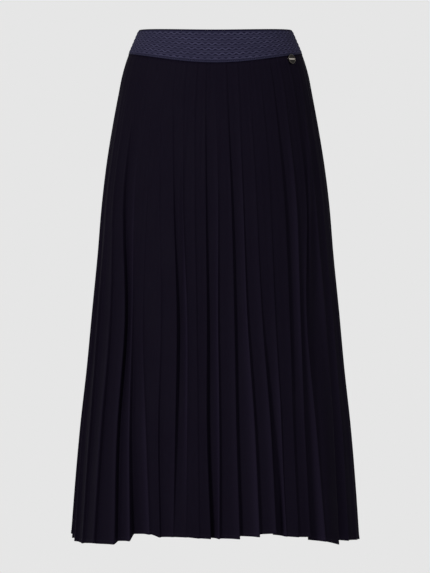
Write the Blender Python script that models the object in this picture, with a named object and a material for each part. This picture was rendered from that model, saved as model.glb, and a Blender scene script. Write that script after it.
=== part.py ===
"""A pleated midi skirt with a wide elastic waistband, in the form it has when it is worn.

Metres, +Z up, the front faces -Y, and X runs to the right of somebody who looks at the front. The
origin is in the middle of the waistband, where the wearer's waist holds the skirt. The skirt is an
open tube of three sewn pieces, the waistband, the front panel and the back panel, with a small
round metal plate riveted over the waistband's seam.
"""

import math
from collections import namedtuple

import bmesh
import bpy
import numpy as np
from mathutils import Matrix, Vector

CM = 0.01
MM = 0.001

# Heights, measured down from the waistband's top edge at the side seams.
BAND_MIDDLE = 2.5 * CM
BAND_AT_SIDES = 3.76 * CM
HEM_AT_SIDES = 79.1 * CM

# The edges aren't level: how much lower or higher each lies at the centre front and the centre
# back.
RIM_DIP_FRONT = 0.35 * CM
RIM_DIP_BACK = 0.10 * CM
BAND_DIP_FRONT = 1.70 * CM
BAND_DIP_BACK = 1.40 * CM
HEM_RISE_FRONT = 1.30 * CM
HEM_RISE_BACK = 1.00 * CM

SEAM_GAP = 0.3 * MM
CLOTH_WALL = 1.0 * MM
# At a sharp fold the wall's corner reaches no further than half its thickness over this.
SHARPEST_CORNER = 0.35
BAND_WALL = 2.0 * MM
BAND_PROUD = 1.1 * MM

# The tube seen from above is a slightly squared oval, and this is its exponent (2 would be an
# ellipse).
SQUARENESS = 2.2
OUTLINE_POINTS = 1440
TANGENT_STEP = 1 / 360

# Its size at each height, in centimetres: how far below the rim, half the width over the outermost
# folds, half the depth from front to back, and how far the middle of the oval lies behind the
# origin.
Section = namedtuple("Section", "below half_width half_depth set_back")
SECTIONS = (
    Section(below=0.0, half_width=11.75, half_depth=8.7, set_back=0.0),
    Section(below=2.3, half_width=12.75, half_depth=9.2, set_back=0.1),
    Section(below=3.8, half_width=13.38, half_depth=9.5, set_back=0.25),
    Section(below=7.0, half_width=14.40, half_depth=10.1, set_back=0.5),
    Section(below=10.0, half_width=15.00, half_depth=10.6, set_back=0.7),
    Section(below=14.5, half_width=15.85, half_depth=11.5, set_back=1.0),
    Section(below=20.0, half_width=16.75, half_depth=12.4, set_back=1.2),
    Section(below=27.0, half_width=17.60, half_depth=13.2, set_back=1.2),
    Section(below=35.0, half_width=18.25, half_depth=14.1, set_back=1.0),
    Section(below=43.5, half_width=19.10, half_depth=14.9, set_back=0.9),
    Section(below=52.5, half_width=19.90, half_depth=15.7, set_back=0.7),
    Section(below=61.5, half_width=20.85, half_depth=16.5, set_back=0.6),
    Section(below=70.5, half_width=21.60, half_depth=17.2, set_back=0.5),
    Section(below=79.1, half_width=22.20, half_depth=17.8, set_back=0.4),
)
PANEL_SECTIONS = SECTIONS[2:]

# Where each knife pleat's outer fold lies, in centimetres round the cloth from the centre of its
# panel, towards the left side seam of the wearer at the front, at five heights. Deep compares the
# step down behind the fold with the usual one at the same heights, and lift is how many millimetres
# the hem at the fold hangs above the panel's smooth hem line.
Fold = namedtuple("Fold", "hip thigh knee calf hem deep lift")
FOLD_HEIGHTS = (10.0, 25.0, 45.0, 62.0, 79.1)
FRONT_FOLDS = (
    Fold(-19.9, -23.5, -26.3, -28.7, -30.7, deep=(0.6, 0.7, 0.8, 0.8, 0.9), lift=12),
    Fold(-18.4, -21.6, -23.8, -26.0, -27.6, deep=(0.6, 0.8, 0.9, 0.8, 0.9), lift=1),
    Fold(-16.8, -19.6, -21.2, -22.9, -24.2, deep=(0.6, 0.8, 1.0, 1.1, 0.8), lift=-2),
    Fold(-15.1, -17.6, -17.9, -19.4, -20.6, deep=(0.8, 1.0, 1.2, 1.2, 1.0), lift=-2),
    Fold(-13.4, -15.3, -14.8, -16.0, -16.2, deep=(1.0, 2.3, 2.4, 1.9, 1.8), lift=-5),
    Fold(-11.7, -13.0, -13.3, -13.6, -13.4, deep=(0.6, 0.5, 0.9, 1.6, 2.6), lift=-1),
    Fold(-10.2, -10.8, -11.4, -10.8, -10.1, deep=(0.6, 0.5, 0.6, 0.5, 0.4), lift=8),
    Fold(-8.5, -8.7, -8.4, -8.8, -8.5, deep=(0.6, 0.4, 0.5, 0.8, 0.9), lift=3),
    Fold(-6.7, -6.5, -5.9, -6.1, -6.4, deep=(0.8, 1.4, 2.3, 1.5, 0.2), lift=3),
    Fold(-4.9, -5.0, -4.3, -4.3, -4.4, deep=(0.7, 0.9, 0.4, 0.2, 0.15), lift=2),
    Fold(-3.2, -3.2, -2.9, -2.7, -2.5, deep=(0.8, 0.5, 0.5, 0.3, 0.3), lift=0),
    Fold(-1.6, -1.5, -1.3, -1.3, -0.7, deep=(1.5, 1.8, 2.0, 2.1, 2.2), lift=-1),
    Fold(0.1, 0.4, 0.4, 0.6, 0.6, deep=(0.6, 0.8, 1.0, 1.1, 1.0), lift=-1),
    Fold(1.8, 2.4, 2.9, 3.2, 3.7, deep=(1.8, 2.2, 1.9, 1.6, 1.5), lift=-1),
    Fold(3.6, 4.2, 4.9, 6.0, 6.7, deep=(0.5, 0.9, 1.2, 1.3, 1.1), lift=3),
    Fold(5.4, 6.2, 7.2, 8.5, 9.4, deep=(0.5, 0.5, 1.0, 2.0, 2.8), lift=9),
    Fold(7.3, 8.4, 9.3, 10.3, 11.3, deep=(0.5, 0.4, 0.5, 0.4, 0.3), lift=5),
    Fold(9.3, 10.8, 11.7, 12.2, 13.0, deep=(1.8, 2.4, 1.7, 0.9, 0.5), lift=5),
    Fold(11.2, 12.9, 13.6, 14.2, 15.1, deep=(0.6, 0.8, 1.3, 1.4, 1.5), lift=6),
    Fold(13.2, 15.0, 14.8, 16.4, 17.9, deep=(1.5, 2.2, 1.6, 0.5, 0.4), lift=0),
    Fold(15.2, 17.1, 19.2, 20.6, 21.3, deep=(1.0, 1.6, 1.8, 2.0, 2.4), lift=-4),
    Fold(16.8, 19.3, 21.8, 23.6, 24.6, deep=(0.7, 0.8, 0.8, 0.7, 0.8), lift=2),
    Fold(18.2, 21.3, 24.1, 26.3, 27.8, deep=(0.7, 0.8, 0.9, 0.9, 0.8), lift=3),
    Fold(19.5, 23.2, 26.2, 28.6, 30.6, deep=(0.7, 0.8, 0.8, 0.9, 0.9), lift=3),
)
BACK_FOLDS = (
    Fold(-19.9, -23.6, -26.5, -29.0, -31.0, deep=(0.7, 0.8, 0.9, 0.8, 0.9), lift=3),
    Fold(-18.3, -21.5, -24.3, -26.7, -28.4, deep=(0.6, 0.7, 0.7, 0.8, 0.8), lift=1),
    Fold(-16.5, -19.3, -21.9, -24.4, -25.9, deep=(0.7, 0.9, 1.1, 1.1, 1.0), lift=-2),
    Fold(-14.8, -17.3, -19.3, -21.0, -22.3, deep=(1.0, 1.5, 1.6, 1.5, 1.6), lift=-4),
    Fold(-13.1, -15.5, -17.2, -18.7, -20.2, deep=(0.6, 0.5, 0.5, 0.5, 0.4), lift=-2),
    Fold(-11.5, -13.4, -15.1, -16.6, -18.0, deep=(0.7, 0.8, 0.7, 0.6, 0.8), lift=1),
    Fold(-9.8, -11.3, -12.4, -13.7, -14.5, deep=(1.0, 1.4, 1.4, 1.3, 1.5), lift=4),
    Fold(-8.1, -9.5, -10.3, -11.1, -12.1, deep=(0.6, 0.6, 0.7, 0.9, 0.7), lift=2),
    Fold(-6.4, -7.4, -8.4, -9.2, -10.0, deep=(0.6, 0.7, 0.5, 0.4, 0.5), lift=1),
    Fold(-4.7, -5.4, -5.8, -6.3, -6.7, deep=(1.4, 1.7, 1.5, 1.4, 1.5), lift=0),
    Fold(-3.1, -3.6, -3.7, -4.0, -4.4, deep=(0.7, 0.8, 0.8, 0.9, 0.8), lift=-1),
    Fold(-1.4, -1.7, -1.9, -2.3, -2.5, deep=(0.6, 0.5, 0.4, 0.4, 0.4), lift=0),
    Fold(0.3, 0.5, 0.7, 0.9, 1.1, deep=(1.0, 1.3, 1.2, 1.3, 1.4), lift=1),
    Fold(2.0, 2.4, 2.7, 2.8, 3.1, deep=(0.7, 0.8, 0.7, 0.6, 0.7), lift=-1),
    Fold(3.7, 4.2, 4.8, 5.3, 5.4, deep=(0.6, 0.5, 0.6, 0.7, 0.6), lift=-2),
    Fold(5.3, 6.3, 7.5, 8.4, 9.0, deep=(1.3, 1.7, 1.7, 1.7, 1.6), lift=-4),
    Fold(7.0, 8.3, 9.4, 10.2, 11.2, deep=(0.6, 0.6, 0.5, 0.5, 0.6), lift=0),
    Fold(8.8, 10.3, 11.5, 12.6, 13.3, deep=(0.7, 0.7, 0.8, 0.9, 0.8), lift=4),
    Fold(10.5, 12.5, 14.1, 15.4, 16.7, deep=(1.2, 1.5, 1.4, 1.2, 1.3), lift=5),
    Fold(12.2, 14.3, 16.0, 17.4, 18.7, deep=(0.6, 0.5, 0.5, 0.5, 0.4), lift=2),
    Fold(13.9, 16.4, 18.5, 20.0, 21.3, deep=(0.7, 0.9, 1.0, 0.8, 1.0), lift=-1),
    Fold(15.7, 18.7, 21.3, 23.3, 25.1, deep=(1.0, 1.3, 1.4, 1.5, 1.4), lift=-3),
    Fold(17.5, 20.8, 23.5, 25.7, 27.6, deep=(0.6, 0.7, 0.7, 0.8, 0.8), lift=0),
    Fold(19.3, 22.9, 25.8, 28.2, 30.2, deep=(0.7, 0.8, 0.9, 1.0, 0.9), lift=3),
)

# How deep the usual pleat is at each height: nearly flat under the waistband, and open at the hem.
DEPTH_HEIGHTS = (3.8, 10.0, 20.0, 35.0, 55.0, 79.1)
PLEAT_DEPTHS = (0.04, 0.08, 0.18, 0.30, 0.44, 0.55)
# A pleat's face goes from its inner fold out to its outer one by way of two points: how far along
# it each lies, and how much of the depth is left there.
FACE_POINTS = ((0.40, 0.79), (0.77, 0.46))
# The cloth under an outer fold runs back to the next inner fold, which lies ahead of it by LEAD in
# a flat pleat and behind it, hidden, by UNDERCUT of the depth in a deep one.
LEAD = 2.4 * MM
FLAT_PLEAT = 2.0 * MM
UNDERCUT = 0.30
# An inner fold's hem hangs this much higher than the outer fold's, as part of the depth.
INNER_HEM_LIFT = 0.12
# The hem runs on past a pleat shallower than the first depth, and steps at one as deep as the second.
HEM_RUNS_ON = 2.0 * MM
HEM_STEPS = 9.0 * MM

# The waistband's knit: rows of zigzag ribs between a plain top rib and a plain border at the seam.
ZIGZAG_ROWS = 5
ZIGZAG_WAVES = 68
ZIGZAG_SWING = 1.1 * MM
RIB_HEIGHT = 0.8 * MM
# Heights as shares of the band's: where the zigzags start and end, the trough and the rib in one
# row of them, and where the border starts.
ZIGZAG_TOP = 0.15
ZIGZAG_BOTTOM = 0.91
TROUGH_IN_ROW = 0.10
RIB_IN_ROW = 0.60
BORDER_TOP = 0.92
INSIDE_RINGS = (0.0, 0.5, 1.0)

# The round metal plate, riveted over the waistband's seam to the right of the front.
PLATE_RADIUS = 7.5 * MM
PLATE_FIELD = 6.3 * MM
PLATE_THICKNESS = 1.1 * MM
PLATE_RIM = 0.4 * MM
PLATE_SIDES = 32
PLATE_BELOW = 4.30 * CM
PLATE_FROM_CENTRE = 12.65 * CM
PLATE_STAND_OFF = 0.9 * MM
PLATE_TURN = math.radians(8)
# The band's surface at the plate is read between its middle and points this share of the way up and
# beside it.
ABOVE_PLATE = 0.7
BESIDE_PLATE = 0.01

NAVY_CLOTH = (0.0075, 0.0062, 0.0120)
NAVY_BAND = (0.0250, 0.0245, 0.0480)
DARK_METAL = (0.33, 0.31, 0.28)


def smooth(at, stations, values):
    """The value at a height, on a smooth curve through the values at the stations."""
    stations = np.asarray(stations, float)
    values = np.asarray(values, float)
    slopes = np.gradient(values, stations)
    i = int(np.clip(np.searchsorted(stations, at) - 1, 0, len(stations) - 2))
    span = stations[i + 1] - stations[i]
    t = np.clip((at - stations[i]) / span, 0.0, 1.0)
    start = (1 + 2 * t) * (1 - t) ** 2 * values[i] + t * (1 - t) ** 2 * slopes[i] * span
    end = t * t * (3 - 2 * t) * values[i + 1] - t * t * (1 - t) * slopes[i + 1] * span
    return float(start + end)


class Outline:
    """The oval of the tube at one height. Round is measured along it in metres, from the centre front
    to the right."""

    def __init__(self, below):
        stations = [section.below for section in SECTIONS]
        half_width, half_depth, set_back = (
            smooth(below, stations, [getattr(section, name) for section in SECTIONS]) * CM
            for name in ("half_width", "half_depth", "set_back")
        )
        angle = np.linspace(-math.pi, math.pi, OUTLINE_POINTS + 1)
        power = 2 / SQUARENESS
        self.x = half_width * np.sign(np.sin(angle)) * np.abs(np.sin(angle)) ** power
        self.y = set_back - half_depth * np.sign(np.cos(angle)) * np.abs(np.cos(angle)) ** power
        steps = np.hypot(np.diff(self.x), np.diff(self.y))
        length = np.concatenate([[0.0], np.cumsum(steps)])
        self.half = length[-1] / 2
        self.round = length - self.half

    def point(self, round_to, inward=0.0):
        """The point (x, y) at a distance round the oval, moved towards the inside."""
        wrapped = (round_to + self.half) % (2 * self.half) - self.half
        step = self.half * TANGENT_STEP
        ahead = self.at(wrapped + step)
        behind = self.at(wrapped - step)
        tangent = (ahead - behind) / np.linalg.norm(ahead - behind)
        return self.at(wrapped) - np.array([tangent[1], -tangent[0]]) * inward

    def at(self, round_to):
        wrapped = (round_to + self.half) % (2 * self.half) - self.half
        return np.array([np.interp(wrapped, self.round, self.x), np.interp(wrapped, self.round, self.y)])


def level(round_share, at_sides, front, back):
    """A height that changes smoothly round the tube. The share is 0 at the centre front and 1 or -1 at
    the back."""
    swing = math.cos(math.pi * round_share)
    return at_sides + swing * swing * (front if swing > 0 else back)


def rim_height(round_share):
    return BAND_MIDDLE + level(round_share, 0.0, -RIM_DIP_FRONT, -RIM_DIP_BACK)


def seam_height(round_share):
    return BAND_MIDDLE + level(round_share, -BAND_AT_SIDES, -BAND_DIP_FRONT, -BAND_DIP_BACK)


def hem_height(round_share):
    return BAND_MIDDLE + level(round_share, -HEM_AT_SIDES, HEM_RISE_FRONT, HEM_RISE_BACK)


def fold_places(folds, below):
    """How far round from its panel's centre each outer fold lies at this height, in metres."""
    if below <= FOLD_HEIGHTS[0]:
        shrink = Outline(below).half / Outline(FOLD_HEIGHTS[0]).half
        return [fold.hip * CM * shrink for fold in folds]
    return [smooth(below, FOLD_HEIGHTS, fold[:5]) * CM for fold in folds]


def pleat_depth(fold, below):
    usual = smooth(below, DEPTH_HEIGHTS, PLEAT_DEPTHS) * CM
    return usual * smooth(max(below, FOLD_HEIGHTS[0]), FOLD_HEIGHTS, fold.deep)


def first_lift(behind, own, depth):
    """The hem's lift at the start of a pleat's face, from the lift of the fold behind it and its own."""
    step = float(np.clip((depth - HEM_RUNS_ON) / (HEM_STEPS - HEM_RUNS_ON), 0.0, 1.0))
    return behind + (own - behind) * step


def panel_path(below, folds, before, after, centre):
    """The middle of a panel's cloth at one height: for each point, how far round the tube it is, how
    far inside the outermost folds, and its pleat's lift. Before and after are the other panel's last
    and first folds, and centre is the share of the way round at this panel's centre."""
    half = Outline(below).half
    places = fold_places(folds, below)
    depths = [pleat_depth(fold, below) for fold in folds]
    edge = half / 2
    first = fold_places([before], below)[0] - half
    last = fold_places([after], below)[0] + half
    path = []

    def add_face(start, end, depth, behind, own, shares):
        """Points at these shares of the way along the face from one outer fold to the next."""
        stations = (0.0, FACE_POINTS[0][0], FACE_POINTS[1][0], 1.0)
        left = (1.0, FACE_POINTS[0][1], FACE_POINTS[1][1], 0.0)
        lift = first_lift(behind, own, depth)
        for share in shares:
            place = centre * half + start + (end - start) * share
            inward = depth * float(np.interp(share, stations, left))
            path.append([place, inward, lift + (own - lift) * share])

    def add_inner_fold(start, depth, behind, own):
        lead = LEAD - UNDERCUT * max(0.0, depth - FLAT_PLEAT)
        lift = first_lift(behind, own, depth) + INNER_HEM_LIFT * depth / MM
        path.append([centre * half + start + lead, depth, lift])

    face_shares = [share for share, _ in FACE_POINTS] + [1.0]
    seam = (-edge - first) / (places[0] - first)
    depth = pleat_depth(before, below)
    add_face(first, places[0], depth, before.lift, folds[0].lift, (seam, (1 + seam) / 2, 1.0))
    for i in range(1, len(folds)):
        add_inner_fold(places[i - 1], depths[i - 1], folds[i - 1].lift, folds[i].lift)
        add_face(places[i - 1], places[i], depths[i - 1], folds[i - 1].lift, folds[i].lift, face_shares)
    seam = (edge - places[-1]) / (last - places[-1])
    add_inner_fold(places[-1], depths[-1], folds[-1].lift, after.lift)
    add_face(places[-1], last, depths[-1], folds[-1].lift, after.lift, (seam / 2, seam))
    path[0][0] += SEAM_GAP / 2
    path[-1][0] -= SEAM_GAP / 2
    return path


def offset_both_ways(line, wall):
    """Two lines beside an open line in the plane, half a wall outside it and half a wall inside."""
    ahead = np.diff(line, axis=0)
    ahead /= np.linalg.norm(ahead, axis=1)[:, None]
    outward = np.stack([ahead[:, 1], -ahead[:, 0]], axis=1)
    before = np.vstack([outward[:1], outward])
    after = np.vstack([outward, outward[-1:]])
    miter = before + after
    reach = np.clip((miter * before).sum(axis=1), SHARPEST_CORNER, None)
    miter = miter / reach[:, None]
    return line + miter * wall / 2, line - miter * wall / 2


def wall_mesh(name, outer, inner, closed):
    """One solid wall between an outer and an inner sheet of points, each rows by columns, top row
    first. On a closed tube the two may have different rows, because only their rims are joined."""
    mesh = bmesh.new()
    outside = [[mesh.verts.new(point) for point in row] for row in outer]
    inside = [[mesh.verts.new(point) for point in row] for row in inner]
    columns = len(outside[0])
    last = columns if closed else columns - 1

    def patch(a, b, c, d):
        """Two triangles, parted along the line from a to c."""
        mesh.faces.new((a, b, c))
        mesh.faces.new((a, c, d))

    for j in range(last):
        k = (j + 1) % columns
        for upper, lower in zip(outside, outside[1:]):
            patch(upper[j], lower[j], lower[k], upper[k])
        for upper, lower in zip(inside, inside[1:]):
            mesh.faces.new((upper[j], lower[k], lower[j]))
            mesh.faces.new((upper[j], upper[k], lower[k]))
        patch(outside[0][j], outside[0][k], inside[0][k], inside[0][j])
        patch(outside[-1][j], inside[-1][j], inside[-1][k], outside[-1][k])
    if not closed:
        for i in range(len(outside) - 1):
            patch(outside[i][0], inside[i][0], inside[i + 1][0], outside[i + 1][0])
            patch(outside[i][-1], outside[i + 1][-1], inside[i + 1][-1], inside[i][-1])
    data = bpy.data.meshes.new(name)
    mesh.to_mesh(data)
    mesh.free()
    return data


def material(name, colour, roughness, metallic):
    made = bpy.data.materials.new(name)
    made.use_nodes = True
    shader = made.node_tree.nodes["Principled BSDF"]
    shader.inputs["Base Color"].default_value = (*colour, 1.0)
    shader.inputs["Roughness"].default_value = roughness
    shader.inputs["Metallic"].default_value = metallic
    return made


def add_object(name, mesh, finish):
    mesh.materials.append(finish)
    made = bpy.data.objects.new(name, mesh)
    bpy.context.scene.collection.objects.link(made)
    return made


def make_panel(name, folds, other, centre, finish):
    """A pleated panel: its cloth's section is worked out at each height, and the wall goes through
    all of them."""
    outer = []
    inner = []
    top = PANEL_SECTIONS[0].below
    for section in PANEL_SECTIONS:
        below = section.below
        outline = Outline(below)
        path = panel_path(below, folds, other[-1], other[0], centre)
        line = np.array([outline.point(place, inward) for place, inward, _ in path])
        down = (below - top) / (PANEL_SECTIONS[-1].below - top)
        heights = []
        for place, _, lift in path:
            share = place / outline.half
            upper = seam_height(share) - SEAM_GAP
            heights.append(upper + (hem_height(share) - upper) * down + lift * MM * down**3)
        for rows, points in zip((outer, inner), offset_both_ways(line, CLOTH_WALL)):
            rows.append([(x, y, z) for (x, y), z in zip(points, heights)])
    return add_object(name, wall_mesh(name, outer, inner, closed=False), finish)


def band_point(round_share, down, proud, swing=0.0):
    """A point of the waistband: its share of the way round, how far down it is, and how far it stands
    out."""
    outline = Outline(down * BAND_AT_SIDES / CM)
    x, y = outline.point(round_share * outline.half, -proud)
    rim = rim_height(round_share)
    return x, y, rim + (seam_height(round_share) - rim) * down + swing


def make_waistband(name, finish):
    """A tube of thick elastic knit. Its outer points are raised into rows of zigzag ribs, and its
    inside is plain."""
    columns = 2 * ZIGZAG_WAVES
    rings = [(0.0, 0.0, 0.0), (ZIGZAG_TOP / 2, RIB_HEIGHT, 0.0)]
    row = (ZIGZAG_BOTTOM - ZIGZAG_TOP) / ZIGZAG_ROWS
    for i in range(ZIGZAG_ROWS):
        rings.append((ZIGZAG_TOP + row * (i + TROUGH_IN_ROW), 0.0, ZIGZAG_SWING))
        rings.append((ZIGZAG_TOP + row * (i + RIB_IN_ROW), RIB_HEIGHT, ZIGZAG_SWING))
    rings.append((BORDER_TOP, 0.0, 0.0))
    rings.append((1.0, 0.0, 0.0))
    shares = [2 * j / columns - 1 for j in range(columns)]
    outer = [
        [
            band_point(share, down, BAND_PROUD + rib, swing if j % 2 else -swing)
            for j, share in enumerate(shares)
        ]
        for down, rib, swing in rings
    ]
    inner = [[band_point(share, down, BAND_PROUD - BAND_WALL) for share in shares] for down in INSIDE_RINGS]
    return add_object(name, wall_mesh(name, outer, inner, closed=True), finish)


def make_plate(name, finish):
    """A round plate turned from its profile: a flat back, a raised rim and a slightly sunk plain field."""
    profile = (
        (0.0, 0.0),
        (PLATE_RADIUS, 0.0),
        (PLATE_RADIUS, PLATE_THICKNESS),
        ((PLATE_RADIUS + PLATE_FIELD) / 2, PLATE_THICKNESS + PLATE_RIM),
        (PLATE_FIELD, PLATE_THICKNESS),
        (0.0, PLATE_THICKNESS),
    )
    mesh = bmesh.new()
    verts = [mesh.verts.new((radius, 0.0, height)) for radius, height in profile]
    edges = [mesh.edges.new(pair) for pair in zip(verts, verts[1:])]
    bmesh.ops.spin(
        mesh,
        geom=verts + edges,
        cent=(0, 0, 0),
        axis=(0, 0, 1),
        angle=2 * math.pi,
        steps=PLATE_SIDES,
        use_merge=True,
    )
    bmesh.ops.remove_doubles(mesh, verts=mesh.verts, dist=0.01 * MM)
    bmesh.ops.recalc_face_normals(mesh, faces=mesh.faces)

    outline = Outline(PLATE_BELOW / CM)
    share = PLATE_FROM_CENTRE / outline.half
    down = PLATE_BELOW / BAND_AT_SIDES
    here = Vector(band_point(share, down, BAND_PROUD))
    above = Vector(band_point(share, ABOVE_PLATE, BAND_PROUD))
    beside = Vector(band_point(share + BESIDE_PLATE, down, BAND_PROUD))
    out = (here - above).cross(beside - here).normalized()
    up = (above - here).normalized()
    across = up.cross(out).normalized()
    turn = Matrix((across, out.cross(across), out)).transposed().to_4x4()
    spin = Matrix.Rotation(-PLATE_TURN, 4, "Z")
    place = Matrix.Translation(here + out * PLATE_STAND_OFF)
    bmesh.ops.transform(mesh, matrix=place @ turn @ spin, verts=mesh.verts)
    data = bpy.data.meshes.new(name)
    mesh.to_mesh(data)
    mesh.free()
    return add_object(name, data, finish)


for old in list(bpy.data.objects):
    bpy.data.objects.remove(old, do_unlink=True)

crepe = material("pleated_crepe", NAVY_CLOTH, 0.72, 0.0)
elastic = material("elastic_knit", NAVY_BAND, 0.80, 0.0)
metal = material("plate_metal", DARK_METAL, 0.30, 1.0)

make_waistband("waistband", elastic)
make_panel("front_panel", FRONT_FOLDS, BACK_FOLDS, 0.0, crepe)
make_panel("back_panel", BACK_FOLDS, FRONT_FOLDS, 1.0, crepe)
make_plate("metal_plate", metal)
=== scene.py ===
"""Studio picture of a pleated midi skirt with a wide elastic waistband, filled out as if somebody wore it.

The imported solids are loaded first. Each sewn piece is then made again as fine cloth on its solid's form: the front and
back panels, the waistband, the sewing, and the small round plate. Metres, +Z up, and the front faces -Y.
"""

import math
from collections import namedtuple

import bmesh
import bpy
import numpy as np
from mathutils import Matrix, Vector


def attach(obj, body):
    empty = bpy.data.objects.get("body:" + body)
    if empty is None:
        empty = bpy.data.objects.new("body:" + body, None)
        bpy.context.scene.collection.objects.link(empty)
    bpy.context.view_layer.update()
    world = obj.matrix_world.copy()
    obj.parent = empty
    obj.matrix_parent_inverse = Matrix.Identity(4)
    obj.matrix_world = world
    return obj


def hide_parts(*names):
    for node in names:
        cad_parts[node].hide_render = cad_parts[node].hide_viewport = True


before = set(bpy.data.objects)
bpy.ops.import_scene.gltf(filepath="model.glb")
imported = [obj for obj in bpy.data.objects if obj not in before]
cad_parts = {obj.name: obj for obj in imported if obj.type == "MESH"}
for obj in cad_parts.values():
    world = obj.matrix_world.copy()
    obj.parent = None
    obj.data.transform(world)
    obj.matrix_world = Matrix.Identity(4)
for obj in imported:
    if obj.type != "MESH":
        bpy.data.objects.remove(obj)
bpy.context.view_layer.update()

# The front and back panels: two widths of near-black navy crepe, pressed into knife pleats that all turn the same way
# and open towards the hem. Each is hemmed narrow, sewn to the other at the side seams and gathered into the waistband.

CM = 0.01
MM = 0.001

# Heights are measured down from the waistband's top edge at the side seams, and the origin is BAND_MIDDLE below it.
BAND_MIDDLE = 2.5 * CM
BAND_AT_SIDES = 3.76 * CM
HEM_AT_SIDES = 79.1 * CM
RIM_DIP_FRONT = 0.35 * CM
RIM_DIP_BACK = 0.10 * CM
BAND_DIP_FRONT = 1.70 * CM
BAND_DIP_BACK = 1.40 * CM
HEM_RISE_FRONT = 1.30 * CM
HEM_RISE_BACK = 1.00 * CM
# How far the cloth's top edge is caught inside the waistband.
SEAM_TUCK = 0.6 * MM

# The tube's size over the outermost folds at each height, in centimetres: how far below the rim, half the width, half
# the depth, and how far its middle lies behind the origin. Seen from above it is an oval of this exponent.
Section = namedtuple("Section", "below half_width half_depth set_back")
SECTIONS = (
    Section(below=0.0, half_width=11.75, half_depth=8.7, set_back=0.0),
    Section(below=2.3, half_width=12.75, half_depth=9.2, set_back=0.1),
    Section(below=3.8, half_width=13.38, half_depth=9.5, set_back=0.25),
    Section(below=7.0, half_width=14.40, half_depth=10.1, set_back=0.5),
    Section(below=10.0, half_width=15.00, half_depth=10.6, set_back=0.7),
    Section(below=14.5, half_width=15.85, half_depth=11.5, set_back=1.0),
    Section(below=20.0, half_width=16.75, half_depth=12.4, set_back=1.2),
    Section(below=27.0, half_width=17.60, half_depth=13.2, set_back=1.2),
    Section(below=35.0, half_width=18.25, half_depth=14.1, set_back=1.0),
    Section(below=43.5, half_width=19.10, half_depth=14.9, set_back=0.9),
    Section(below=52.5, half_width=19.90, half_depth=15.7, set_back=0.7),
    Section(below=61.5, half_width=20.85, half_depth=16.5, set_back=0.6),
    Section(below=70.5, half_width=21.60, half_depth=17.2, set_back=0.5),
    Section(below=79.1, half_width=22.20, half_depth=17.8, set_back=0.4),
)
SQUARENESS = 2.2
PANEL_TOP = 3.8
PANEL_BOTTOM = 79.1
# The oval is worked out at this many points, and its slope is taken over this share of half of it.
OUTLINE_POINTS = 5760
SLOPE_SHARE = 1 / 360

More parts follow.
